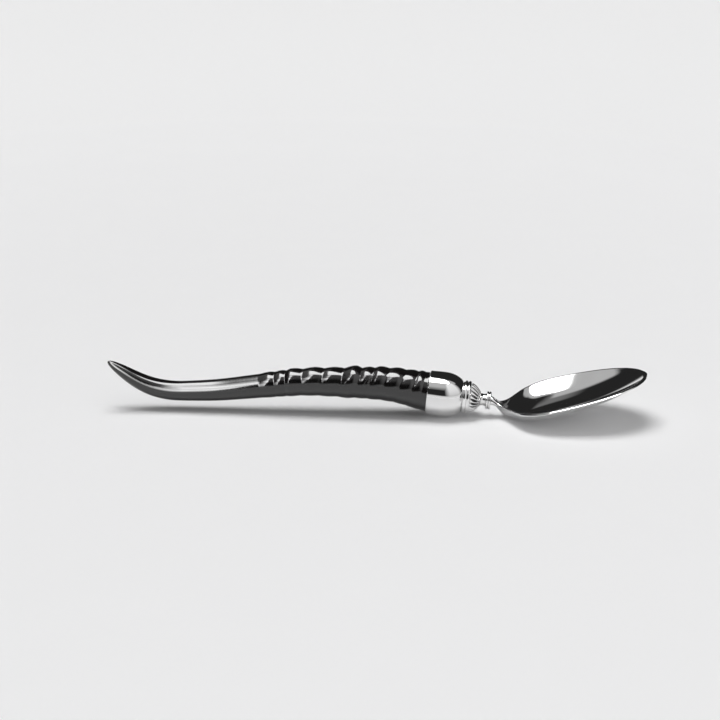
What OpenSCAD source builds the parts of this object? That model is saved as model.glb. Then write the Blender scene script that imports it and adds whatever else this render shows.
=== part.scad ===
// Coffee spoon with a ridged horn handle, a turned metal neck and a forged bowl.
// Every piece is drawn along the axis of the neck: zero is the mouth of the ferrule,
// the bowl lies towards +X and the horn towards -X. The whole spoon is then laid on
// the table, where it rests on the belly of the ferrule and on the heel of the bowl.

/* [Horn] */
// Length along the middle of the horn, from the ferrule to the tip
horn_length = 112; // [106:1:120]
// Radius of the horn where it leaves the ferrule
horn_root_r = 6.75; // [6.4:0.05:7.4]
// Radius where the horn begins to taper to its tip
horn_thin_r = 3.4; // [3:0.1:4.5]
// Length of the rounded taper that ends in the tip
tip_taper = 28; // [20:1:34]
// Angle at which the horn leaves the ferrule, above the axis of the neck
horn_kink = 5.4; // [2:0.2:8]

/* [Horn bends] */
// Start of the bend over the crown of the horn
crown_from = 2; // [0:0.5:10]
// Length of the bend over the crown
crown_run = 20; // [12:1:30]
// How far the horn turns down over the crown
crown_turn = 12.5; // [6:0.5:18]
// Start of the gentle bend along the back
back_from = 33; // [26:1:40]
// Length of the bend along the back
back_run = 18; // [12:1:30]
// How far the horn turns down along the back
back_turn = 7.5; // [2:0.5:12]
// Start of the bend that levels the horn again
belly_from = 64; // [56:1:70]
// Length of the bend that levels the horn
belly_run = 16; // [10:1:24]
// How far the horn turns up along its belly
belly_turn = 5; // [0:0.5:10]
// Distance from the tip at which the hook starts
hook_from_tip = 31; // [24:1:36]
// Length of the bend of the hook
hook_run = 25; // [18:1:32]
// How far the hook turns up
hook_turn = 36; // [20:0.5:50]

/* [Ridges] */
// Places of the growth ridges, measured along the horn from the ferrule
ridge_places = [3.4, 7.4, 11.8, 17.4, 21.2, 25.8, 33, 39, 46.2, 49.6, 53.6]; // [1:0.2:60]
// Height of each ridge on top of the horn
ridge_heights = [0.3, 0.35, 0.4, 0.5, 0.35, 0.85, 0.4, 0.4, 0.45, 0.25, 0.25]; // [0:0.05:1]
// Lean of the ridges, tops towards the ferrule
ridge_lean = 14; // [0:1:20]
// Share of a ridge's height that is left on the underside
ridge_under = 0.35; // [0:0.05:1]

/* [Ferrule] */
// Length of the ferrule from its mouth to the collar
ferrule_length = 11.8; // [11:0.1:15]
// Wall of the ferrule at its mouth
ferrule_wall = 0.85; // [0.7:0.05:1.4]
// How far the belly stands out past the mouth
ferrule_bulge = 0.2; // [0:0.05:0.8]
// Distance from the mouth to the widest part of the belly
belly_place = 5.5; // [4:0.1:6.5]
// Radius of the face that meets the collar
ferrule_face_r = 5.05; // [4.6:0.05:5.6]
// Rounding of the lip round the mouth
lip_round = 0.5; // [0.2:0.05:0.5]
// Depth of the straight bore that holds the horn
seat_depth = 6.5; // [5:0.1:7.5]
// Depth at which the horn's spigot ends
floor_depth = 9.6; // [8.5:0.1:10]
// Radius of the end face of the spigot
floor_r = 4.4; // [3.6:0.1:4.6]
// Step from the outside of the horn down to its spigot
spigot_step = 0.3; // [0.2:0.05:0.5]

/* [Collar, bell and spool] */
// Radius over the beads of the collar
collar_r = 5.65; // [5.3:0.05:6.2]
// Radius of each of the collar's two beads
collar_bead = 0.72; // [0.5:0.02:0.9]
// Length of the collar
collar_length = 2.6; // [2.4:0.1:3.4]
// Radius of the bell beside the collar
bell_r = 4.95; // [4.6:0.05:5.3]
// Length of the bell
bell_length = 3.2; // [2.6:0.1:4.2]
// Number of flutes round the bell
flutes = 20; // [12:1:24]
// Depth of a flute as a share of the bell's radius
flute_share = 0.13; // [0.04:0.01:0.16]
// Turn of the flutes along the bell
flute_swirl = 17; // [0:1:30]
// Radius of the spool beside the bell
spool_r = 2.45; // [2.3:0.05:2.7]
// Length of the spool's cove
cove_length = 2; // [1.6:0.1:2.4]
// Radius at the bottom of the cove
cove_waist_r = 1.95; // [1.8:0.05:2.1]
// Radius over the two beads that end the spool
spool_bead_r = 3.05; // [2.8:0.05:3.4]
// Radius of each of those beads
spool_bead = 0.4; // [0.34:0.02:0.5]

/* [Tang] */
// Radius of the tang that runs through the neck into the horn
tang_r = 1.2; // [0.9:0.05:1.3]
// Length of the tang inside the horn, beyond the mouth of the ferrule
tang_reach = 20; // [12:1:24]
// Room for glue past the end of the tang
tang_end_gap = 0.5; // [0.2:0.1:1.5]
// Clearance all round the tang and the spigot
fit_gap = 0.05; // [0.02:0.01:0.12]

/* [Bowl] */
// Length along the rim, from the end of the spool to the tip of the bowl
bowl_length = 52.6; // [48:0.2:58]
// Width over the rim
bowl_width = 34; // [30:0.5:38]
// Distance from the spool to the widest place
widest_place = 21; // [19:0.5:25]
// Depth of the bowl's outside below the rim
bowl_depth = 6.1; // [5:0.1:9]
// Distance from the spool to the deepest place
deepest_place = 15; // [13:0.5:22]
// Thickness of the bowl at its bottom
bowl_wall = 1; // [0.8:0.1:1.5]
// Width of the rim seen from above
rim_width = 1.2; // [0.9:0.1:1.8]
// Thickness of the edge at the rim
rim_edge = 0.45; // [0.3:0.05:0.7]
// Radius of the neck of the bowl beside the spool
neck_r = 1.5; // [1.5:0.05:1.9]
// Half the thickness where the neck has opened into the bowl
neck_thin = 1; // [0.8:0.05:1.4]
// Angle by which the neck dips as it leaves the spool
neck_dip = 11; // [4:0.5:16]
// Angle by which the bowl then turns up
bowl_lift = 32.5; // [28:0.5:36]

/* [Hidden] */
$fn = 96;

horn_color = "#1b1a1c";
metal_color = "#c9ccd0";

// How quickly the horn thins behind the ferrule
horn_power = 0.62;
// Below 1 the ridges are broad swellings with narrow grooves between them
crest_power = 0.8;
// Rings of the horn between two ridges, as shares of the way from one to the next
crest_steps = [0, 0.2, 0.38, 0.5, 0.62, 0.8];
// Unevenness of a ridge round the horn, its waves, and their shift from ridge to ridge
ridge_uneven = 0.15;
ridge_waves = 3;
ridge_shift = 70;
// Distance over which the ridges die away after the last one
ridge_fade = 6;
// Distance over which the rings reach their full lean
lean_run = 8;
// Rings in the smooth stretch, in the taper, and points round each ring
smooth_rings = 10;
taper_rings = 11;
horn_sides = 28;
// Points on the curves of the ferrule
curve_steps = 10;
shoulder_power = 0.75;
// Above 1 the bell is a dome, at 1 a cone
bell_power = 1.5;
// Rings and points a flute of the bell
bell_rings = 9;
flute_points = 6;
// Depth of a flute at its two ends, as a share of its depth in the middle
flute_end_share = 0.35;
// Form of the bowl's outline and sections
outline_power = 2.4;
heel_power = 2;
flare_from = -3.8;
flare_run = 15.3;
depth_power = 2.4;
section_power = 2.4;
dip_run = 1;
lift_from = 1;
lift_run = 7.2;
dish_from = 0;
dish_run = 5;
heel_rings = 24;
bowl_rings = 22;
section_steps = 16;
// Smallest share of the outer width that the inside keeps at the tip
inner_share = 0.45;
// Share of the rim's width that its bevelled edge takes
rim_bevel_share = 0.3;
// How far one solid reaches into another that it joins, and a cut past a face
overlap = 1;

spigot_r = horn_root_r - spigot_step;
seat_r = spigot_r + fit_gap;
ferrule_r = seat_r + ferrule_wall;
ferrule_belly_r = ferrule_r + ferrule_bulge;
tang_bore_r = tang_r + fit_gap;

collar_x = ferrule_length;
bell_x = collar_x + collar_length;
spool_x = bell_x + bell_length;
spool_length = cove_length + 4 * spool_bead;
neck_x = spool_x + spool_length;

ridge_count = len(ridge_places);
smooth_from = ridge_places[ridge_count - 1] + ridge_fade;
taper_from = horn_length - tip_taper;
hook_from = horn_length - hook_from_tip;

// Eases from 0 to 1 between the start and the end of a run
function eased(at, from, run) =
    let (t = min(1, max(0, (at - from) / run)))
    t * t * (3 - 2 * t);

// Points [x, z] along a curve whose heading is known, one for each station in the list
function traced(stations, headings, way) =
    [for (i = 0, x = 0, z = 0; i < len(stations);
          step = i + 1 < len(stations) ? stations[i + 1] - stations[i] : 0,
          turn = i + 1 < len(stations) ? (headings[i] + headings[i + 1]) / 2 : 0,
          x = x + way * cos(turn) * step,
          z = z + sin(turn) * step,
          i = i + 1)
        [x, z]];

// Heading of the horn, above the axis of the neck
function horn_heading(s) =
    horn_kink
    - crown_turn * eased(s, crown_from, crown_run)
    - back_turn * eased(s, back_from, back_run)
    + belly_turn * eased(s, belly_from, belly_run)
    + hook_turn * eased(s, hook_from, hook_run);

// Radius of the horn without its ridges
function horn_radius(s) =
    let (k = max(0, (s - taper_from) / tip_taper),
         thinned = pow(min(s, taper_from) / taper_from, horn_power))
    (horn_root_r - (horn_root_r - horn_thin_r) * thinned) * sqrt(max(0, 1 - k * k));

// Lean of the ring at s, square to the neck at the mouth and upright past the ridges
function ring_lean(s) =
    ridge_lean * (1 - eased(s, smooth_from / 2, smooth_from / 2))
    - (ridge_lean + horn_kink) * (1 - eased(s, 0, lean_run));

// Stations of the horn's rings as [place, ridge height, ridge number]
ridge_knots = concat([0], ridge_places, [smooth_from]);
knot_heights = concat([0], ridge_heights, [0]);
ridge_stations = [for (i = [0 : ridge_count]) for (f = crest_steps)
    [ridge_knots[i] + f * (ridge_knots[i + 1] - ridge_knots[i]),
     knot_heights[f < 0.5 ? i : i + 1] * pow(abs(cos(180 * f)), crest_power),
     f < 0.5 ? i : i + 1]];
smooth_stations = [for (i = [0 : smooth_rings - 1])
    [smooth_from + (taper_from - smooth_from) * i / smooth_rings, 0, 0]];
taper_stations = [for (i = [0 : taper_rings - 1])
    [taper_from + tip_taper * sin(90 * i / taper_rings), 0, 0]];
horn_stations = concat(ridge_stations, smooth_stations, taper_stations, [[horn_length, 0, 0]]);
horn_line = traced([for (st = horn_stations) st[0]],
                   [for (st = horn_stations) horn_heading(st[0])], -1);

// One ring of the horn: i is its station
function horn_ring(i) =
    let (st = horn_stations[i], c = horn_line[i],
         h = horn_heading(st[0]), lean = ring_lean(st[0]))
    [for (j = [0 : horn_sides - 1])
        let (a = 360 * j / horn_sides,
             side = ridge_under + (1 - ridge_under) * (1 + sin(a)) / 2,
             uneven = 1 + ridge_uneven * sin(ridge_waves * a + ridge_shift * st[2]),
             r = horn_radius(st[0]) + st[1] * side * uneven,
             up = r * sin(a))
        [c[0] + up * (sin(h) + cos(h) * tan(lean)),
         r * cos(a),
         c[1] + up * (cos(h) - sin(h) * tan(lean))]];

horn_rings = [for (i = [len(horn_stations) - 2 : -1 : 0]) horn_ring(i)];
horn_tip = horn_line[len(horn_line) - 1];

// Outside of the ferrule as [radius, distance], from the lip to the collar
ferrule_curve = concat(
    [for (i = [0 : curve_steps])
        let (a = 90 * i / curve_steps)
        [ferrule_r - lip_round + lip_round * sin(a), lip_round - lip_round * cos(a)]],
    [for (i = [1 : curve_steps])
        let (t = i / curve_steps)
        [ferrule_r + ferrule_bulge * sin(90 * t), lip_round + (belly_place - lip_round) * t]],
    [for (i = [1 : curve_steps])
        let (t = sin(90 * i / curve_steps))
        [ferrule_face_r + (ferrule_belly_r - ferrule_face_r) * pow(1 - t * t, shoulder_power),
         belly_place + (ferrule_length - belly_place) * t]]);

// Heading of the bowl's rim, above the axis of the neck
function bowl_heading(u) =
    bowl_lift * eased(u, lift_from, lift_run) - neck_dip * eased(u, 0, dip_run);

// Half the width over the rim
function half_width(u) =
    let (full = bowl_width / 2,
         near = (1 - pow(1 - min(1, u / widest_place), heel_power))
                * eased(u, flare_from, flare_run),
         t = max(0, (u - widest_place) / (bowl_length - widest_place)))
    u < widest_place ? sqrt(neck_r * neck_r + (full * full - neck_r * neck_r) * near * near)
                     : full * sqrt(max(0, 1 - pow(t, outline_power)));

// Half the width of the hollow
function hollow_width(u) =
    let (full = bowl_width / 2 - rim_width,
         t = min(1, max(0, (u - widest_place) / (bowl_length - rim_width - widest_place))))
    max(inner_share * half_width(u),
        u < widest_place ? half_width(u) - rim_width
                         : full * sqrt(1 - pow(t, outline_power)));

// Share of the full depth at u, for a bowl that ends at the given place
function depth_share(u, end) =
    let (t = u < deepest_place ? (deepest_place - u) / deepest_place
                               : min(1, (u - deepest_place) / (end - deepest_place)))
    1 - pow(t, depth_power);

// Section of the bowl at station i, a round neck that opens into a dish
function bowl_section(i) =
    let (u = bowl_stations[i], c = bowl_line[i], h = bowl_heading(u),
         dish = eased(u, dish_from, dish_run),
         w = half_width(u), hollow = hollow_width(u),
         land = w - rim_bevel_share * (w - hollow),
         outer = (bowl_depth - rim_edge) * depth_share(u, bowl_length),
         inner = (bowl_depth - bowl_wall) * depth_share(u, bowl_length - rim_width),
         thick = neck_r + (neck_thin - neck_r) * eased(u, 0, dish_run / 2),
         round_at = function (y) (1 - dish) * thick * sqrt(max(0, 1 - y * y / (w * w))),
         top = [for (k = [0 : section_steps])
             let (q = cos(180 * k / section_steps), y = hollow * q)
             [y, round_at(y) - dish * inner * (1 - pow(abs(q), section_power))]],
         bottom = [for (k = [0 : section_steps])
             let (q = -cos(180 * k / section_steps), y = w * q)
             [y, -round_at(y) - dish * (rim_edge + outer * (1 - pow(abs(q), section_power)))]])
    [for (p = concat([[land, round_at(land)]], top, [[-land, round_at(land)]], bottom))
        [neck_x + c[0] - p[1] * sin(h), p[0], c[1] + p[1] * cos(h)]];

bowl_stations = concat(
    [for (i = [0 : heel_rings]) widest_place * i / heel_rings],
    [for (i = [1 : bowl_rings])
        widest_place + (bowl_length - widest_place) * sin(90 * i / bowl_rings)]);
bowl_line = traced(bowl_stations, [for (u = bowl_stations) bowl_heading(u)], 1);
bowl_last = len(bowl_stations) - 1;
bowl_tip = [neck_x + bowl_line[bowl_last][0] + rim_edge / 2 * sin(bowl_heading(bowl_length)),
            bowl_line[bowl_last][1] - rim_edge / 2 * cos(bowl_heading(bowl_length))];
bowl_sections = [for (i = [0 : bowl_last - 1]) bowl_section(i)];
// Middle of the underside, where the last step of each section's lower curve is halved
keel_index = section_steps + 3 + section_steps / 2;
bowl_keel = [for (section = bowl_sections) [section[keel_index][0], section[keel_index][2]]];

// Lowest height of some [x, z] points when the neck falls by the angle
function lowest(points, fall) = min([for (p = points) p[1] * cos(fall) - p[0] * sin(fall)]);
ferrule_under = [for (p = ferrule_curve) [p[1], -p[0]]];

// Fall of the neck at which the ferrule and the bowl both reach the table
function resting_fall(low = -15, high = 25, turns = 30) =
    let (mid = (low + high) / 2)
    turns == 0 ? mid
    : lowest(bowl_keel, mid) > lowest(ferrule_under, mid) ? resting_fall(mid, high, turns - 1)
                                                         : resting_fall(low, mid, turns - 1);
neck_fall = resting_fall();
lift_z = -lowest(ferrule_under, neck_fall);

function laid_x(p) = p[0] * cos(neck_fall) + p[1] * sin(neck_fall);
horn_end_x = min([for (ring = horn_rings) for (p = ring) laid_x([p[0], p[2]])]);
bowl_end_x = max([for (section = bowl_sections) for (p = section) laid_x([p[0], p[2]])]);
middle_x = (min(horn_end_x, laid_x(horn_tip)) + max(bowl_end_x, laid_x(bowl_tip))) / 2;

// Lays a piece on the table, with the origin under the middle of the spoon
module laid() {
    translate([-middle_x, 0, lift_z]) rotate([0, neck_fall, 0]) children();
}

// Turns a profile of [radius, distance] round the axis of the neck
module turned() {
    rotate([0, 90, 0]) rotate_extrude() children();
}

// Rod or hole along the axis of the neck
module rod(r, from, to) {
    translate([from, 0, 0]) rotate([0, 90, 0]) cylinder(r = r, h = to - from);
}

// Closed skin over rings that follow one another towards +X, with a point or a face at each end
module skin(rings, first_point = undef, last_point = undef) {
    sides = len(rings[0]);
    last = (len(rings) - 1) * sides;
    points = concat([for (ring = rings) each ring],
                    is_undef(first_point) ? [] : [first_point],
                    is_undef(last_point) ? [] : [last_point]);
    start = len(rings) * sides;
    end = is_undef(first_point) ? start : start + 1;
    faces = concat(
        [for (i = [0 : len(rings) - 2]) for (j = [0 : sides - 1])
            let (a = i * sides + j, b = i * sides + (j + 1) % sides)
            each [[a, a + sides, b + sides], [a, b + sides, b]]],
        is_undef(first_point) ? [[for (j = [0 : sides - 1]) j]]
                              : [for (j = [0 : sides - 1]) [start, j, (j + 1) % sides]],
        is_undef(last_point) ? [[for (j = [sides - 1 : -1 : 0]) last + j]]
                             : [for (j = [0 : sides - 1]) [end, last + (j + 1) % sides, last + j]]);
    polyhedron(points, faces);
}

// Natural horn, with a turned spigot that sits in the ferrule and a blind hole for the tang
module horn_handle() {
    color(horn_color) laid() difference() {
        union() {
            skin(horn_rings, first_point = [horn_tip[0], 0, horn_tip[1]]);
            turned() polygon([[0, -overlap], [spigot_r, -overlap], [spigot_r, seat_depth],
                              [floor_r, floor_depth], [0, floor_depth]]);
        }
        rod(tang_bore_r, -tang_reach - tang_end_gap, floor_depth + overlap);
    }
}

// Polished thimble that closes over the horn
module ferrule() {
    color(metal_color) laid() turned() polygon(concat(
        [[seat_r, 0]], ferrule_curve,
        [[tang_bore_r, ferrule_length], [tang_bore_r, floor_depth],
         [floor_r + fit_gap, floor_depth], [seat_r, seat_depth]]));
}

// Collar of two beads with a groove between them
module collar_ring() {
    color(metal_color) laid() turned() {
        bead_r = collar_r - collar_bead;
        translate([tang_bore_r, collar_x]) square([bead_r - tang_bore_r, collar_length]);
        for (at = [collar_x + collar_bead, bell_x - collar_bead])
            translate([bead_r, at]) circle(r = collar_bead);
    }
}

// Bell with swirled flutes, wide at the collar and narrow at the spool
module fluted_bell() {
    sides = flutes * flute_points;
    rings = [for (i = [0 : bell_rings])
        let (t = i / bell_rings,
             r = bell_r + (spool_r - bell_r) * pow(t, bell_power),
             deep = flute_share * (flute_end_share + (1 - flute_end_share) * sin(180 * t)))
        [for (j = [0 : sides - 1])
            let (a = 360 * j / sides,
                 lobe = 1 - deep * (1 - abs(sin(a * flutes / 2))),
                 turn = a + flute_swirl * t)
            [bell_x + bell_length * t, r * lobe * cos(turn), r * lobe * sin(turn)]]];
    color(metal_color) laid() difference() {
        skin(rings);
        rod(tang_bore_r, bell_x - overlap, spool_x + overlap);
    }
}

// Coved spool that ends in two beads
module neck_spool() {
    cove_r = (pow(cove_length / 2, 2) + pow(spool_r - cove_waist_r, 2))
             / (2 * (spool_r - cove_waist_r));
    bead_at = spool_x + cove_length + spool_bead;
    bead_core_r = spool_bead_r - spool_bead;
    color(metal_color) laid() turned() {
        difference() {
            translate([tang_bore_r, spool_x]) square([spool_r - tang_bore_r, cove_length]);
            translate([cove_waist_r + cove_r, spool_x + cove_length / 2]) circle(r = cove_r);
        }
        translate([tang_bore_r, spool_x + cove_length])
            square([bead_core_r - tang_bore_r, 4 * spool_bead]);
        for (at = [bead_at, bead_at + 2 * spool_bead])
            translate([bead_core_r, at]) circle(r = spool_bead);
    }
}

// Forged bowl, with the tang that holds the whole spoon together
module spoon_bowl() {
    color(metal_color) laid() {
        skin(bowl_sections, last_point = [bowl_tip[0], 0, bowl_tip[1]]);
        rod(tang_r, -tang_reach, neck_x + overlap);
    }
}

horn_handle();
ferrule();
collar_ring();
fluted_bell();
neck_spool();
spoon_bowl();
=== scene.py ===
from math import atan2, cos, hypot, pi, radians, sin, sqrt

import bpy
from mathutils import Matrix, Vector


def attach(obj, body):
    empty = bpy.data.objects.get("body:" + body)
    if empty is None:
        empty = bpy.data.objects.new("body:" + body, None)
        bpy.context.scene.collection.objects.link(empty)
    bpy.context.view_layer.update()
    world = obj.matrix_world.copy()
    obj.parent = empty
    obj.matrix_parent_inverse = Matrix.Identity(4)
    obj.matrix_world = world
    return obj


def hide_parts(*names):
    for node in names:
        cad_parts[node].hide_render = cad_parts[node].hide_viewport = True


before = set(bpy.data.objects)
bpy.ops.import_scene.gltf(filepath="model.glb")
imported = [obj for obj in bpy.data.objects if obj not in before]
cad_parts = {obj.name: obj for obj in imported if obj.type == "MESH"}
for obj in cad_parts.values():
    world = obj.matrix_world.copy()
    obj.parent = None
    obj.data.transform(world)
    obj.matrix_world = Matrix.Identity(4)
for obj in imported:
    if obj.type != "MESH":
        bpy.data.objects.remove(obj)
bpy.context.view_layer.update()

mm = 0.001
mergeDistance = 1e-6  # metres
neckPose = {
    "fall": 7.26932,  # degrees by which the neck dips towards the bowl
    "place": (18.4656, 0.0, 8.2643),  # middle of the ferrule's mouth, in mm
}


# Camera, at the photograph's viewing angle

cameraView = {
    "place": (67.25, -546.4, 210.23),  # mm
    "down": 19.14,  # degrees below level
    "turn": 7.44,  # degrees, towards the horn
    "roll": -1.34,
    "lens": 87.5, "sensor": 36,  # mm
    "clipStart": 0.01,  # metres
}


def addCamera(view):
    camera = bpy.data.objects.new("camera", bpy.data.cameras.new("camera"))
    bpy.context.scene.collection.objects.link(camera)
    camera.data.lens = view["lens"]
    camera.data.sensor_width = view["sensor"]
    camera.data.clip_start = view["clipStart"]
    aim = Matrix.Rotation(radians(view["turn"]), 4, "Z")
    aim = aim @ Matrix.Rotation(radians(90 - view["down"]), 4, "X")
    aim = aim @ Matrix.Rotation(radians(view["roll"]), 4, "Z")
    camera.matrix_world = Matrix.Translation(Vector(view["place"]) * mm) @ aim
    bpy.context.scene.camera = camera


addCamera(cameraView)
print("camera placed")


# Small tools for modelling

def selectOnly(piece):
    bpy.ops.object.select_all(action="DESELECT")
    bpy.context.view_layer.objects.active = piece
    piece.select_set(True)


def startEditing(piece):
    selectOnly(piece)
    bpy.ops.object.mode_set(mode="EDIT")
    bpy.ops.mesh.select_mode(type="VERT")


def stopEditing():
    bpy.ops.object.mode_set(mode="OBJECT")


def named(name):
    piece = bpy.context.active_object
    piece.name = piece.data.name = name
    return piece


def mergeDoubles():
    bpy.ops.mesh.select_all(action="SELECT")
    bpy.ops.mesh.remove_doubles(threshold=mergeDistance)
    bpy.ops.mesh.normals_make_consistent(inside=False)


def smoothShaded(piece, angle):
    # faces that meet at less than the angle, in degrees, are shaded as one surface
    selectOnly(piece)
    bpy.ops.object.shade_smooth_by_angle(angle=radians(angle))


def layOnTable(piece):
    # every piece is modelled along the neck's axis, then turned and laid as the spoon rests
    selectOnly(piece)
    piece.rotation_euler = (0, radians(neckPose["fall"]), 0)
    piece.location = Vector(neckPose["place"]) * mm
    bpy.ops.object.transform_apply(location=True, rotation=True, scale=True)


def lathe(name, outline, steps):
    # outline: (distance along the neck, radius) in mm, spun round the neck's axis
    bpy.ops.object.select_all(action="DESELECT")
    bpy.ops.mesh.primitive_plane_add(size=mm, location=(0, 0, 0))
    piece = named(name)
    bpy.ops.object.mode_set(mode="EDIT")
    bpy.ops.mesh.select_all(action="SELECT")
    bpy.ops.mesh.merge(type="CENTER")
    x, r = outline[0]
    bpy.ops.transform.translate(value=(x * mm, 0, r * mm))
    for nextX, nextR in outline[1:]:
        bpy.ops.mesh.extrude_region_move(
            TRANSFORM_OT_translate={"value": ((nextX - x) * mm, 0, (nextR - r) * mm)})
        x, r = nextX, nextR
    bpy.ops.mesh.select_all(action="SELECT")
    bpy.ops.mesh.spin(steps=steps, angle=2 * pi, center=(0, 0, 0), axis=(1, 0, 0))
    mergeDoubles()
    stopEditing()
    return piece


def arc(centreX, centreR, radius, start, end, count):
    # points of an arc, angles in degrees from +X towards larger radius
    turns = [radians(start + (end - start) * i / count) for i in range(count + 1)]
    return [(centreX + radius * cos(a), centreR + radius * sin(a)) for a in turns]


def eased(at, start, run):
    t = min(1, max(0, (at - start) / run))
    return t * t * (3 - 2 * t)


# Horn handle

horn = {
    "length": 112, "rootRadius": 6.75, "thinRadius": 3.4, "taper": 28, "thinning": 0.62,
    "kink": 5.4,  # degrees at which the horn leaves the ferrule
    "bends": [(2, 20, -12.5), (33, 18, -7.5), (64, 16, 5), (81, 25, 36)],  # start, run, degrees
    "ridges": [(3.4, 0.32), (7.4, 0.38), (11.8, 0.45), (17.4, 0.55), (21.2, 0.38), (25.8, 0.88),
               (33.0, 0.45), (39.0, 0.48), (46.2, 0.52), (49.6, 0.28), (53.6, 0.28)],  # place, height
    "fade": 6, "under": 0.35, "crest": 1.05,
    "lean": 14, "leanRun": 8,
    "sides": 80, "stepsPerRidge": 14, "smoothSteps": 34, "taperSteps": 34, "smooth": 40,
    "bore": 1.25, "boreDepth": 20.5, "spigot": 6.45, "seat": 6.5, "floor": 9.6, "floorRadius": 4.4,
}


def hornHeading(s):
    return radians(horn["kink"] + sum(turn * eased(s, start, run) for start, run, turn in horn["bends"]))


def hornRadius(s):
    taperFrom = horn["length"] - horn["taper"]
    k = max(0, (s - taperFrom) / horn["taper"])
    thinned = (min(s, taperFrom) / taperFrom) ** horn["thinning"]
    radius = horn["rootRadius"] - (horn["rootRadius"] - horn["thinRadius"]) * thinned
    return radius * sqrt(max(0, 1 - k * k))


def hornStations():
    # place along the horn and height of the ridge there
    knots = [(0, 0)] + horn["ridges"] + [(horn["ridges"][-1][0] + horn["fade"], 0)]
    stations = []
    for (fromPlace, fromHeight), (toPlace, toHeight) in zip(knots, knots[1:]):
        for i in range(horn["stepsPerRidge"]):
            f = i / horn["stepsPerRidge"]
            height = (fromHeight if f < 0.5 else toHeight) * abs(cos(pi * f)) ** horn["crest"]
            stations.append((fromPlace + f * (toPlace - fromPlace), height))
    smoothFrom = knots[-1][0]
    taperFrom = horn["length"] - horn["taper"]
    for i in range(horn["smoothSteps"]):
        stations.append((smoothFrom + (taperFrom - smoothFrom) * i / horn["smoothSteps"], 0))
    for i in range(horn["taperSteps"]):
        stations.append((taperFrom + horn["taper"] * sin(pi / 2 * i / horn["taperSteps"]), 0))
    return stations


def makeHorn():
    # rings are extruded from the bottom of the tang's hole, out over the spigot, and down the horn
    rings = [((-horn["boreDepth"], 0), horn["bore"], 0), ((horn["floor"], 0), horn["bore"], 0),
             ((horn["floor"], 0), horn["floorRadius"], 0), ((horn["seat"], 0), horn["spigot"], 0),
             ((0, 0), horn["spigot"], 0)]
    smoothFrom = horn["ridges"][-1][0] + horn["fade"]
    x = z = last = 0
    for s, height in hornStations():
        turn = (hornHeading(s) + hornHeading(last)) / 2
        x, z = x - cos(turn) * (s - last), z + sin(turn) * (s - last)
        last = s
        lean = radians(horn["lean"] * (1 - eased(s, smoothFrom / 2, smoothFrom / 2))
                       - (horn["lean"] + horn["kink"]) * (1 - eased(s, 0, horn["leanRun"])))
        rise = height * (1 - horn["under"]) / 2
        radius = hornRadius(s) + height * (1 + horn["under"]) / 2
        heading = hornHeading(s)
        rings.append(((x + rise * sin(heading), z + rise * cos(heading)), radius, heading + lean))
    bpy.ops.object.select_all(action="DESELECT")
    bpy.ops.mesh.primitive_circle_add(vertices=horn["sides"], radius=rings[0][1] * mm, fill_type="NGON",
                                      location=(rings[0][0][0] * mm, 0, 0), rotation=(0, pi / 2, 0))
    piece = named("hornHandle")
    bpy.ops.object.transform_apply(location=True, rotation=True, scale=True)
    bpy.ops.object.mode_set(mode="EDIT")
    bpy.ops.mesh.select_mode(type="VERT")
    bpy.ops.mesh.select_all(action="SELECT")
    (x, z), radius, tilt = rings[0]
    for (nextX, nextZ), nextRadius, nextTilt in rings[1:]:
        centre = (nextX * mm, 0, nextZ * mm)
        bpy.ops.mesh.extrude_region_move(
            TRANSFORM_OT_translate={"value": ((nextX - x) * mm, 0, (nextZ - z) * mm)})
        bpy.ops.transform.resize(value=(nextRadius / radius,) * 3, center_override=centre)
        if abs(nextTilt - tilt) > 1e-9:
            bpy.ops.transform.rotate(value=-(nextTilt - tilt), orient_axis="Y", center_override=centre)
        x, z, radius, tilt = nextX, nextZ, nextRadius, nextTilt
    bpy.ops.mesh.merge(type="CENTER")
    mergeDoubles()
    stopEditing()
    smoothShaded(piece, horn["smooth"])
    layOnTable(piece)
    return piece


hornHandle = makeHorn()
print("horn handle modelled")


# Ferrule, collar, bell and spool, along the neck

ferrule = {
    "length": 11.8, "boreRadius": 6.5, "mouthRadius": 7.35, "bulge": 0.2, "bellyPlace": 5.5,
    "faceRadius": 5.05, "lip": 0.5, "seat": 6.5, "floor": 9.6, "floorRadius": 4.45, "shoulder": 0.75,
    "steps": 160, "lipSteps": 10, "bellySteps": 14, "shoulderSteps": 32, "smooth": 30,
}


def makeFerrule():
    v = ferrule
    belly = v["mouthRadius"] + v["bulge"]
    outline = [(0, v["boreRadius"])]
    outline += arc(v["lip"], v["mouthRadius"] - v["lip"], v["lip"], 180, 90, v["lipSteps"])
    for i in range(1, v["bellySteps"] + 1):
        t = i / v["bellySteps"]
        outline.append((v["lip"] + (v["bellyPlace"] - v["lip"]) * t,
                        v["mouthRadius"] + v["bulge"] * sin(pi / 2 * t)))
    for i in range(1, v["shoulderSteps"] + 1):
        t = sin(pi / 2 * i / v["shoulderSteps"])
        outline.append((v["bellyPlace"] + (v["length"] - v["bellyPlace"]) * t,
                        v["faceRadius"] + (belly - v["faceRadius"]) * (1 - t * t) ** v["shoulder"]))
    outline += [(v["length"], horn["bore"]), (v["floor"], horn["bore"]), (v["floor"], v["floorRadius"]),
                (v["seat"], v["boreRadius"]), (0, v["boreRadius"])]
    piece = lathe("ferruleThimble", outline, v["steps"])
    smoothShaded(piece, v["smooth"])
    layOnTable(piece)
    return piece


collar = {
    "length": 2.6, "radius": 5.65, "bead": 0.72,
    "steps": 144, "beadArc": (175, 5), "beadSteps": 16, "smooth": 40,
}


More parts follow.
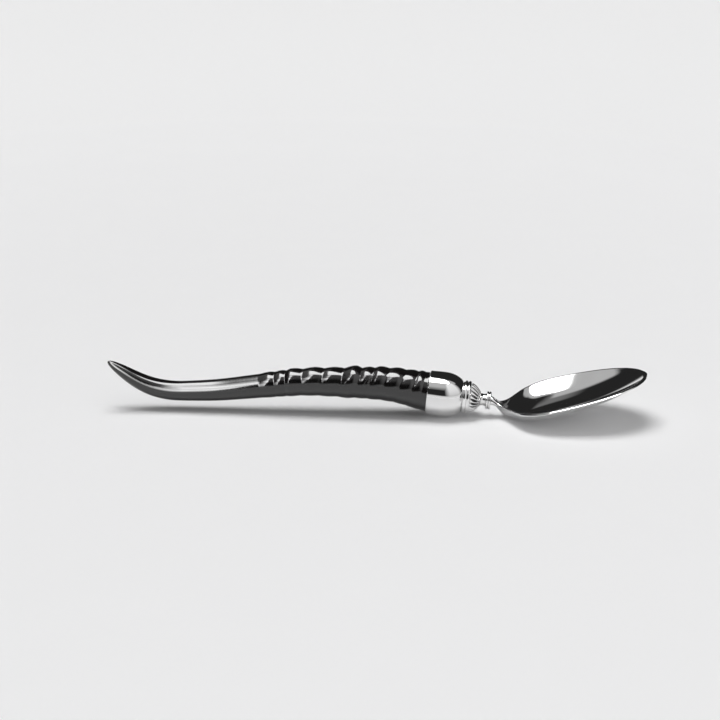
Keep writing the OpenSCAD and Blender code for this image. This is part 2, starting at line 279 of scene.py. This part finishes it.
def makeCollar():
    v = collar
    start, end = ferrule["length"], ferrule["length"] + v["length"]
    core = v["radius"] - v["bead"]
    outline = [(start, horn["bore"]), (start, core)]
    outline += arc(start + v["bead"], core, v["bead"], *v["beadArc"], v["beadSteps"])
    outline += arc(end - v["bead"], core, v["bead"], *v["beadArc"], v["beadSteps"])
    outline += [(end, core), (end, horn["bore"]), (start, horn["bore"])]
    piece = lathe("collarBeads", outline, v["steps"])
    smoothShaded(piece, v["smooth"])
    layOnTable(piece)
    return piece


bell = {
    "length": 3.2, "wide": 4.95, "narrow": 2.45, "power": 1.5, "flutes": 20, "pointsPerFlute": 10,
    "groove": 0.15, "endGroove": 0.35, "swirl": 17, "rings": 18, "smooth": 50,
}


def markHollows(piece, share):
    # keeps on each point how deep it lies in a groove, from 0 to 1, for the painted shade that darkens the
    # metal in its grooves
    hollow = piece.data.attributes.new("hollow", "FLOAT", "POINT")
    for index, point in enumerate(piece.data.vertices):
        x, r = point.co.x / mm, hypot(point.co.y, point.co.z) / mm
        hollow.data[index].value = min(1, max(0, share(x, r)))


def selectPoints(piece, chosen):
    piece.data.edges.foreach_set("select", [False] * len(piece.data.edges))
    piece.data.polygons.foreach_set("select", [False] * len(piece.data.polygons))
    piece.data.vertices.foreach_set("select", [False] * len(piece.data.vertices))
    for index in chosen:
        piece.data.vertices[index].select = True


def pressFlutes(piece, centre, swirl, fromDepth, toDepth):
    # moves the points of the newest ring in or out, so that its grooves reach a new depth
    points = bell["pointsPerFlute"]
    ring = [p.index for p in piece.data.vertices if p.select]
    classes = {}
    for index in ring:
        co = piece.data.vertices[index].co
        share = (atan2(co.z, co.y) - swirl) / (2 * pi) * bell["flutes"] % 1
        classes.setdefault(round(share * points) % points, []).append(index)
    for number, members in classes.items():
        press = 1 - abs(sin(pi * number / points))
        factor = (1 - toDepth * press) / (1 - fromDepth * press)
        if abs(factor - 1) < 1e-9:
            continue
        selectPoints(piece, members)
        bpy.ops.object.mode_set(mode="EDIT")
        bpy.ops.transform.resize(value=(1, factor, factor), center_override=centre)
        bpy.ops.object.mode_set(mode="OBJECT")
    selectPoints(piece, ring)


def bellRadius(t):
    return bell["wide"] - (bell["wide"] - bell["narrow"]) * max(0, t) ** bell["power"]


def makeBell():
    v = bell
    start = ferrule["length"] + collar["length"]
    bpy.ops.object.select_all(action="DESELECT")
    bpy.ops.mesh.primitive_circle_add(vertices=v["flutes"] * v["pointsPerFlute"], radius=horn["bore"] * mm,
                                      location=(start * mm, 0, 0), rotation=(0, pi / 2, 0))
    piece = named("bellFlutes")
    bpy.ops.object.transform_apply(location=True, rotation=True, scale=True)
    size, x, swirl, depth = horn["bore"], start, 0, 0
    plan = [(i / v["rings"], False) for i in range(v["rings"] + 1)] + [(1, True)]
    for t, closing in plan:
        # each ring is drawn out of the last one, turned, and its grooves are pressed in
        nextSize = horn["bore"] if closing else bellRadius(t)
        nextSwirl = 0 if closing else radians(v["swirl"] * t)
        nextDepth = 0 if closing else v["groove"] * (v["endGroove"] + (1 - v["endGroove"]) * sin(pi * t))
        nextX = start + v["length"] * t
        centre = (nextX * mm, 0, 0)
        bpy.ops.object.mode_set(mode="EDIT")
        bpy.ops.mesh.extrude_region_move(TRANSFORM_OT_translate={"value": ((nextX - x) * mm, 0, 0)})
        bpy.ops.transform.resize(value=(1, nextSize / size, nextSize / size), center_override=centre)
        if abs(nextSwirl - swirl) > 1e-9:
            bpy.ops.transform.rotate(value=swirl - nextSwirl, orient_axis="X", center_override=centre)
        bpy.ops.object.mode_set(mode="OBJECT")
        pressFlutes(piece, centre, nextSwirl, depth, nextDepth)
        size, x, swirl, depth = nextSize, nextX, nextSwirl, nextDepth
    bpy.ops.object.mode_set(mode="EDIT")
    bpy.ops.mesh.select_all(action="DESELECT")
    bpy.ops.mesh.select_non_manifold(extend=False)
    bpy.ops.mesh.bridge_edge_loops()  # the bore
    mergeDoubles()
    stopEditing()
    markHollows(piece, lambda x, r: (1 - r / bellRadius((x - start) / v["length"])) / v["groove"])
    smoothShaded(piece, v["smooth"])
    layOnTable(piece)
    return piece


spool = {
    "radius": 2.45, "cove": 2.0, "waist": 1.95, "beadRadius": 3.05, "bead": 0.4,
    "steps": 128, "coveSteps": 16, "firstArc": (180, 5), "lastArc": (175, 0), "beadSteps": 14, "smooth": 40,
}


def makeSpool():
    v = spool
    start = ferrule["length"] + collar["length"] + bell["length"]
    coveEnd = start + v["cove"]
    dip = v["radius"] - v["waist"]
    coveRadius = ((v["cove"] / 2) ** 2 + dip ** 2) / (2 * dip)
    reach = 90 - 180 / pi * atan2(coveRadius - dip, v["cove"] / 2)
    core = v["beadRadius"] - v["bead"]
    outline = [(start, horn["bore"])]
    outline += arc(start + v["cove"] / 2, v["waist"] + coveRadius, coveRadius,
                   270 - reach, 270 + reach, v["coveSteps"])
    outline += arc(coveEnd + v["bead"], core, v["bead"], *v["firstArc"], v["beadSteps"])
    outline += arc(coveEnd + 3 * v["bead"], core, v["bead"], *v["lastArc"], v["beadSteps"])
    end = coveEnd + 4 * v["bead"]
    outline += [(end, horn["bore"]), (start, horn["bore"])]
    piece = lathe("neckSpool", outline, v["steps"])
    smoothShaded(piece, v["smooth"])
    layOnTable(piece)
    return piece


ferruleThimble = makeFerrule()
collarBeads = makeCollar()
bellFlutes = makeBell()
neckSpool = makeSpool()
print("neck pieces modelled")


# Bowl, lofted from the neck's round end to the tip, with the tang forged on

bowl = {
    "neckPlace": 21.2, "tangRadius": 1.2, "tangReach": 20, "neckRadius": 1.5, "neckThin": 1,
    "length": 52.6, "width": 34, "widestPlace": 21, "outlinePower": 2.4, "flare": (-3.8, 15.3),
    "depth": 6.1, "deepestPlace": 15, "depthPower": 2.4, "sectionPower": 2.4, "wall": 1, "dishRun": 5,
    "rimWidth": 1.2, "rimEdge": 0.45, "bevelShare": 0.3, "innerShare": 0.45,
    "rimRound": 0.42, "roundLimit": 0.45,  # mm off a corner, and the largest share of a side
    "rimFrom": 0.975,  # share of the half width at which the rim's curves begin
    "dip": (11, 0, 1), "lift": (32.5, 1, 7.2),  # degrees, start, run
    "heelRings": 84, "toeRings": 64, "steps": 56, "roundSteps": 5, "smooth": 40,
}


def bowlHeading(u):
    dip, dipFrom, dipRun = bowl["dip"]
    lift, liftFrom, liftRun = bowl["lift"]
    return radians(lift * eased(u, liftFrom, liftRun) - dip * eased(u, dipFrom, dipRun))


def bowlHalfWidths(u):
    # half the width over the rim, and half the width of the hollow
    v = bowl
    full, neck, widest = v["width"] / 2, v["neckRadius"], v["widestPlace"]
    if u < widest:
        near = (1 - (1 - u / widest) ** 2) * eased(u, *v["flare"])
        over = sqrt(neck ** 2 + (full ** 2 - neck ** 2) * near ** 2)
        inside = over - v["rimWidth"]
    else:
        past = (u - widest) / (v["length"] - widest)
        insidePast = min(1, (u - widest) / (v["length"] - v["rimWidth"] - widest))
        over = full * sqrt(max(0, 1 - past ** v["outlinePower"]))
        inside = (full - v["rimWidth"]) * sqrt(1 - insidePast ** v["outlinePower"])
    return over, max(v["innerShare"] * over, inside)


def depthShare(u, end):
    deepest = bowl["deepestPlace"]
    t = (deepest - u) / deepest if u < deepest else min(1, (u - deepest) / (end - deepest))
    return 1 - t ** bowl["depthPower"]


def roundedCorner(before, corner, after):
    # points of a small curve that replaces a corner of the section
    before, corner, after = Vector(before), Vector(corner), Vector(after)
    start, end = (corner + side * min(bowl["roundLimit"], bowl["rimRound"] / max(1e-6, side.length))
                  for side in (before - corner, after - corner))
    shares = [i / (bowl["roundSteps"] - 1) for i in range(bowl["roundSteps"])]
    return [start * (1 - f) ** 2 + corner * 2 * f * (1 - f) + end * f * f for f in shares]


def bowlSection(u):
    # closed outline across the bowl: a round neck that opens into a dish
    v = bowl
    over, inside = bowlHalfWidths(u)
    dish = eased(u, 0, v["dishRun"])
    thick = v["neckRadius"] + (v["neckThin"] - v["neckRadius"]) * eased(u, 0, v["dishRun"] / 2)
    outer = (v["depth"] - v["rimEdge"]) * depthShare(u, v["length"])
    inner = (v["depth"] - v["wall"]) * depthShare(u, v["length"] - v["rimWidth"])

    def roundAt(y):
        return (1 - dish) * thick * sqrt(max(0, 1 - (y / over) ** 2))

    def top(q):
        return inside * q, roundAt(inside * q) - dish * inner * (1 - abs(q) ** v["sectionPower"])

    def bottom(q):
        fallen = v["rimEdge"] + outer * (1 - abs(q) ** v["sectionPower"])
        return over * q, -roundAt(over * q) - dish * fallen

    land = over - v["bevelShare"] * (over - inside)
    crown = (land, roundAt(land))
    close = v["rimFrom"]
    corners = roundedCorner(bottom(close), bottom(1), crown) + roundedCorner(bottom(1), crown, top(1))
    corners += roundedCorner(crown, top(1), top(close))
    sweep = [close * cos(pi * i / v["steps"]) for i in range(v["steps"] + 1)]
    section = [tuple(p) for p in corners] + [top(q) for q in sweep]
    section += [(-y, z) for y, z in reversed(corners)] + [bottom(-q) for q in sweep]
    return section


def makeBowl():
    v = bowl
    toe = v["length"] - v["widestPlace"]
    stations = [v["widestPlace"] * i / v["heelRings"] for i in range(v["heelRings"])]
    stations += [v["widestPlace"] + toe * sin(pi / 2 * i / v["toeRings"]) for i in range(v["toeRings"])]
    around = len(bowlSection(0))
    turns = [2 * pi * i / around for i in range(around)]
    tang = [(v["tangRadius"] * cos(a), v["tangRadius"] * sin(a)) for a in turns]
    rings = [[(-v["tangReach"], 0, 0)] * around, [(-v["tangReach"], y, z) for y, z in tang],
             [(v["neckPlace"], y, z) for y, z in tang]]
    x, height, last = v["neckPlace"], 0, 0
    for u in stations + [v["length"]]:
        turn = (bowlHeading(u) + bowlHeading(last)) / 2
        x, height, last = x + cos(turn) * (u - last), height + sin(turn) * (u - last), u
        heading = bowlHeading(u)
        if u < v["length"]:
            rings.append([(x - z * sin(heading), y, height + z * cos(heading))
                          for y, z in bowlSection(u)])
    tip = (x + v["rimEdge"] / 2 * sin(heading), 0, height - v["rimEdge"] / 2 * cos(heading))
    rings.append([tip] * around)
    # a sheet of squares is wrapped round the rings, then its seam and its two ends are merged
    bpy.ops.object.select_all(action="DESELECT")
    bpy.ops.mesh.primitive_grid_add(x_subdivisions=len(rings) - 1, y_subdivisions=around, size=1)
    piece = named("spoonBowl")
    for point in piece.data.vertices:
        ring = rings[round((point.co.x + 0.5) * (len(rings) - 1))]
        point.co = Vector(ring[round((point.co.y + 0.5) * around) % around]) * mm
    startEditing(piece)
    mergeDoubles()
    stopEditing()
    smoothShaded(piece, v["smooth"])
    layOnTable(piece)
    return piece


spoonBowl = makeBowl()
print("bowl modelled")


# Materials

class Wire:
    # one socket, so that shader maths reads as Python
    def __init__(self, shader, socket):
        self.shader, self.socket = shader, socket

    def maths(self, operation, first, second):
        return self.shader.node("ShaderNodeMath", {"operation": operation}, {0: first, 1: second})

    def __add__(self, other):
        return self.maths("ADD", self, other)

    __radd__ = __add__

    def __mul__(self, other):
        return self.maths("MULTIPLY", self, other)

    __rmul__ = __mul__

    def __sub__(self, other):
        return self.maths("SUBTRACT", self, other)

    def __rsub__(self, other):
        return self.maths("SUBTRACT", other, self)

    def __pow__(self, other):
        return self.maths("POWER", self, other)


class Shader:
    def __init__(self, name="", world=None):
        self.owner = world or bpy.data.materials.new(name)
        self.owner.use_nodes = True
        self.tree = self.owner.node_tree
        self.tree.nodes.clear()

    def node(self, kind, settings=None, inputs=None, output=0):
        # adds any node: settings first, then values or links of its sockets
        made = self.tree.nodes.new(kind)
        for key, value in (settings or {}).items():
            setattr(made, key, value)
        for key, value in (inputs or {}).items():
            if isinstance(value, Wire):
                self.tree.links.new(value.socket, made.inputs[key])
            else:
                made.inputs[key].default_value = value
        return Wire(self, made.outputs[output]) if made.outputs else None

    def coordinates(self, scale=(1, 1, 1), turn=(0, 0, 0)):
        place = self.node("ShaderNodeTexCoord", output="Object")
        return self.node("ShaderNodeMapping", {}, {"Vector": place, "Scale": scale, "Rotation": turn})

    def noise(self, vector, detail):
        # one grain for each unit of the vector, about 0.5 on the whole
        return self.node("ShaderNodeTexNoise", {}, {"Vector": vector, "Scale": 1.0, "Detail": detail,
                                                    "Roughness": 0.5})

    def parts(self, vector):
        # x, y and z of a vector
        made = self.node("ShaderNodeSeparateXYZ", {}, {"Vector": vector})
        return [Wire(self, socket) for socket in made.socket.node.outputs]

    def rays(self):
        # camera rays, mirror rays and rays through glass
        made = self.node("ShaderNodeLightPath")
        return [Wire(self, made.socket.node.outputs[kind + " Ray"])
                for kind in ("Is Camera", "Is Glossy", "Is Transmission")]

    def mixed(self, share, first, second):
        # colours, each a wire or three numbers
        first, second = (c if isinstance(c, Wire) else (*c, 1) for c in (first, second))
        return self.node("ShaderNodeMix", {"data_type": "RGBA"}, {0: share, 6: first, 7: second}, output=2)

    def near(self, value, centre, half, soft):
        # 1 within a half width of the centre, falling to 0 over a soft edge
        away = self.node("ShaderNodeMath", {"operation": "ABSOLUTE"}, {0: value - centre})
        return self.node("ShaderNodeMapRange", {"interpolation_type": "SMOOTHSTEP"}, {
            "Value": away, "From Min": half + soft / 2, "From Max": half - soft / 2})

    def larger(self, first, second):
        return self.node("ShaderNodeMath", {"operation": "MAXIMUM"}, {0: first, 1: second})

    def ramp(self, value, stops):
        # grey stops as (place, level)
        made = self.node("ShaderNodeValToRGB", {}, {"Fac": value})
        elements = made.socket.node.color_ramp.elements
        while len(elements) < len(stops):
            elements.new(0.5)
        for element, (place, level) in zip(elements, stops):
            element.position = place
            element.color = (level, level, level, 1)
        return made

    def finish(self, surface):
        self.node("ShaderNodeOutputMaterial", {}, {"Surface": surface})
        return self.owner


hornFinish = {
    "dark": (0.004, 0.0038, 0.0042), "light": (0.020, 0.016, 0.013), "lightShare": 1.6, "fibreFrom": 0.35,
    "fibres": (60, 900, 900), "clouds": (120, 120, 120), "growth": (900, 90, 90),  # grains for each metre
    "roughness": 0.13, "roughnessSpread": 0.12, "fibreRoughness": 0.06, "ior": 1.48,
    "bump": 0.16, "bumpDepth": 0.0001, "fibreShare": 0.4, "growthShare": 0.6,
    "coatWeight": 0.6, "coatRoughness": 0.05, "coatIor": 1.6,
    # two slanting creases on the tall ridge's side: place along x less slope times height, in metres
    "creases": [-0.01112, -0.00981], "creaseSlope": 0.7, "creaseDepth": 0.0002,
    "creaseHalf": 0.00012, "creaseSoft": 0.0005,
    # where they lie, as centre, half width and soft edge
    "creaseSide": (-0.005, 0.0025, 0.002), "creaseHeight": (0.0138, 0.0014, 0.0022),
}


def makeHornMaterial():
    v = hornFinish
    s = Shader("polishedHorn")
    fibres = s.noise(s.coordinates(v["fibres"]), 4)
    clouds = s.noise(s.coordinates(v["clouds"]), 3)
    growth = s.noise(s.coordinates(v["growth"]), 4)
    colour = s.mixed((fibres - v["fibreFrom"]) * clouds * v["lightShare"], v["dark"], v["light"])
    roughness = v["roughness"] + (clouds - 0.5) * v["roughnessSpread"]
    roughness = roughness + (fibres - 0.5) * v["fibreRoughness"]
    grain = s.node("ShaderNodeBump", {}, {
        "Strength": v["bump"], "Distance": v["bumpDepth"],
        "Height": fibres * v["fibreShare"] + growth * v["growthShare"]})
    x, y, z = s.parts(s.coordinates())
    slanted = x - z * v["creaseSlope"]
    first, second = (s.near(slanted, place, v["creaseHalf"], v["creaseSoft"]) for place in v["creases"])
    side = s.near(y, *v["creaseSide"]) * s.near(z, *v["creaseHeight"])
    creased = s.node("ShaderNodeBump", {}, {
        "Strength": 1, "Distance": v["creaseDepth"], "Normal": grain,
        "Height": s.larger(first, second) * side})
    return s.finish(s.node("ShaderNodeBsdfPrincipled", {}, {
        "Base Color": colour, "Roughness": roughness, "Normal": creased, "IOR": v["ior"],
        "Coat Weight": v["coatWeight"], "Coat IOR": v["coatIor"], "Coat Roughness": v["coatRoughness"]}))


silverFinish = {
    # the near-black third colour is painted shade, laid into the bell's grooves where the metal should look
    # dark
    "colour": (0.88, 0.88, 0.885), "worn": (0.78, 0.775, 0.77), "paintedGrooveShade": (0.035, 0.028, 0.024),
    # grains for each metre, and how the scratches are turned
    "clouds": (90, 90, 90), "scratches": (350, 2600, 2600), "polish": (160, 260, 260),
    "scratchTurn": (0.2, 0.1, 0.5),
    "grooveShadeStops": [(0.30, 0), (0.80, 1)],  # depth in a groove, share of painted shade
    "roughness": 0.05, "spread": 0.06, "scratchRoughness": 0.03, "grooveShadeRoughness": 0.25,
    "bump": 0.05, "bumpDepth": 0.00005, "scratchShare": 0.4,
}


def makeSilverMaterial():
    v = silverFinish
    s = Shader("polishedSilver")
    clouds = s.noise(s.coordinates(v["clouds"]), 4)
    scratches = s.noise(s.coordinates(v["scratches"], v["scratchTurn"]), 2)
    polish = s.noise(s.coordinates(v["polish"]), 2)
    hollow = s.node("ShaderNodeAttribute", {"attribute_name": "hollow"}, output="Fac")
    # painted shade: the deeper a point lies in a groove, the nearer its colour goes to near black, and the
    # rougher it gets
    grooveShadeShare = s.ramp(hollow, v["grooveShadeStops"])
    colour = s.mixed(grooveShadeShare, s.mixed(clouds, v["colour"], v["worn"]), v["paintedGrooveShade"])
    roughness = v["roughness"] + (clouds - 0.5) * v["spread"]
    roughness = roughness + (scratches - 0.5) * v["scratchRoughness"] + grooveShadeShare * v["grooveShadeRoughness"]
    bump = s.node("ShaderNodeBump", {}, {"Strength": v["bump"], "Distance": v["bumpDepth"],
                                         "Height": scratches * v["scratchShare"] + polish})
    return s.finish(s.node("ShaderNodeBsdfPrincipled", {}, {
        "Base Color": colour, "Metallic": 1.0, "Roughness": roughness, "Normal": bump}))


hornMaterial = makeHornMaterial()
silverMaterial = makeSilverMaterial()

pieces = [
    (hornHandle, "horn_handle", hornMaterial, "horn"),
    (ferruleThimble, "ferrule", silverMaterial, "silver"),
    (collarBeads, "collar_ring", silverMaterial, "silver"),
    (bellFlutes, "fluted_bell", silverMaterial, "silver"),
    (neckSpool, "neck_spool", silverMaterial, "silver"),
    (spoonBowl, "spoon_bowl", silverMaterial, "silver"),
]
for piece, node, material, slot in pieces:
    piece.data.materials.clear()
    piece.data.materials.append(material)
    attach(piece, "root")
    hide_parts(node)
print("materials set")


# Floor, light and surroundings

studio = {
    "key": {"place": (-0.10, 0.11, 0.80), "size": (0.46, 0.46), "watts": 5.1},
    # cards near the horn's tip, which only its polish reflects: spread in degrees, narrow enough
    # to leave most of the ridges out
    "highCard": {"place": (-0.155, -0.10, 0.235), "size": (0.13, 0.13), "watts": 0.010, "spread": 24},
    "middleCard": {"place": (-0.155, -0.125, 0.15), "size": (0.13, 0.10), "watts": 0.014, "spread": 30},
    "lowCard": {"place": (-0.125, -0.10, 0.055), "size": (0.08, 0.09), "watts": 0.014, "spread": 42},
    "cardAim": (-0.09, 0, 0.012),
}


def addPanel(name):
    light = bpy.data.objects.new(name, bpy.data.lights.new(name, "AREA"))
    bpy.context.scene.collection.objects.link(light)
    light.data.shape = "RECTANGLE"
    light.data.size, light.data.size_y = studio[name]["size"]
    light.data.energy = studio[name]["watts"]
    light.location = studio[name]["place"]
    light.visible_glossy = False
    return light


def addCard(name):
    card = addPanel(name)
    aim = Vector(studio["cardAim"]) - Vector(studio[name]["place"])
    card.rotation_euler = aim.to_track_quat("-Z", "Y").to_euler()
    card.data.spread = radians(studio[name]["spread"])
    card.visible_glossy = True
    card.visible_camera = card.visible_diffuse = False


floorFinish = {
    "radius": 8, "sides": 64,  # metres
    "colour": (0.80, 0.80, 0.805), "grainShade": 0.985, "grains": (40, 40, 40),
    "roughness": 0.8, "specular": 0.15,
    "farGlow": 0.57,  # glow far from the lamp
}


def makeFloor():
    v = floorFinish
    bpy.ops.object.select_all(action="DESELECT")
    bpy.ops.mesh.primitive_circle_add(vertices=v["sides"], radius=v["radius"], fill_type="NGON",
                                      location=(0, 0, 0))
    floor = named("floor")
    s = Shader("paleFloor")
    grain = s.noise(s.coordinates(v["grains"]), 5)
    colour = s.mixed(grain, v["colour"], [c * v["grainShade"] for c in v["colour"]])
    surface = s.node("ShaderNodeBsdfPrincipled", {}, {
        "Base Color": colour, "Roughness": v["roughness"], "Specular IOR Level": v["specular"]})
    # the lamp's light fades with distance, and a glow that only the camera and reflections see makes it up
    camera, shine, through = s.rays()
    lampX, lampY, lampHeight = studio["key"]["place"]
    away = s.node("ShaderNodeVectorMath", {"operation": "DISTANCE"},
                  {0: s.coordinates(), 1: (lampX, lampY, 0)}, output="Value")
    fall = ((away * (1 / lampHeight)) ** 2 + 1) ** -2
    glow = s.node("ShaderNodeEmission", {}, {"Color": (*[v["farGlow"]] * 3, 1), "Strength": 1.0})
    seen = s.larger(camera, s.larger(shine, through))
    faded = s.node("ShaderNodeMixShader", {}, {0: (1 - fall) * seen, 2: glow})
    floor.data.materials.append(s.finish(s.node("ShaderNodeAddShader", {}, {0: surface, 1: faded})))


room = {
    "dark": 0.02, "ceiling": 0.55, "halo": 0.5, "side": 0.45, "streak": 0.18, "wall": 0.95,  # levels
    "backdrop": 0.80,  # what the camera sees above the floor
    "softbox": 10,  # the key lamp, as polished metal and horn reflect it
    "wallHeading": -42,  # degrees: a pale wall on the bowl's side
    "wallEdge": [(0.74, 0), (0.93, 1)],
    "wallShades": [(0.00, 0.80), (0.12, 0.55), (0.25, 0.72), (0.60, 0.90), (0.90, 1.0), (0.97, 0.2)],
    "ceilingEdge": [(0.00, 0), (0.12, 1)], "ceilingShades": [(0.57, 0), (0.80, 0.9), (0.97, 1)],
    "overhead": [(0.18, 0), (0.24, 1)], "lowBand": [(0.10, 1), (0.19, 0)],  # by height, 1 straight up
}

# soft-edged panels overhead, as centre, half width and soft edge across, back and along a slant:
# places are metres for each metre up
panels = {
    "softbox": [(-0.045, 0.36, 0.08), (0.20, 0.44, 0.10), (-0.40, 0.55, 0.08)],
    "brim": [(-0.05, 0.43, 0.06), (0.20, 0.44, 0.10), (-0.35, 0.60, 0.05)],
    "halo": [(-0.57, 0.20, 0.10), (0.25, 0.60, 0.25)],
    "side": [(0.42, 0.32, 0.20), (-0.10, 0.24, 0.10)],
    "streak": [(-0.42, 0.10, 0.16), (0.95, 0.45, 0.40)],
    "slant": 0.8, "lowest": 0.1,  # slope of the slant, and the height below which places stop spreading
}


def makeWorld():
    world = bpy.data.worlds.new("studioWorld")
    bpy.context.scene.world = world
    w = Shader(world=world)
    v = room
    x, y, z = w.parts(w.node("ShaderNodeTexCoord", output="Generated"))
    level = (1 - z * z + 0.0001) ** 0.5  # how level the direction is, never quite 0
    heading = radians(v["wallHeading"])
    wall = w.ramp((x * cos(heading) + y * sin(heading)) * (level ** -1), v["wallEdge"])
    wall = wall * w.ramp(z, v["wallShades"])
    ceiling = w.ramp(y * -1, v["ceilingEdge"]) * w.ramp(z, v["ceilingShades"])
    above = w.ramp(z, v["overhead"])
    up = w.larger(z, panels["lowest"]) ** -1
    across, back = x * up, y * up
    slant = back + across * panels["slant"]

    def panel(name):
        shape, *cuts = [w.near(place, *edges)
                        for place, edges in zip((across, back, slant), panels[name])]
        for cut in cuts:
            shape = shape * cut
        return shape

    camera, shine, through = w.rays()
    lit = w.larger(wall * v["wall"], ceiling * v["ceiling"])
    lit = w.larger(lit, w.larger(panel("halo"), panel("brim")) * above * v["halo"])
    for name in ("side", "streak"):
        lit = w.larger(lit, panel(name) * above * v[name])
    lit = w.larger(lit, v["dark"]) + panel("softbox") * above * shine * v["softbox"]
    # the camera sees a pale backdrop, and metal reflects it as a low band round the table
    low = w.ramp(z, v["lowBand"]) * w.larger(shine, through)
    lit = w.larger(lit, w.larger(camera, low) * v["backdrop"])
    w.node("ShaderNodeOutputWorld", {}, {"Surface": w.node("ShaderNodeBackground", {}, {"Color": lit})})


makeFloor()
addPanel("key")
for name in ("highCard", "middleCard", "lowCard"):
    addCard(name)
makeWorld()
bpy.context.scene.view_settings.view_transform = "Standard"
print("studio lit")
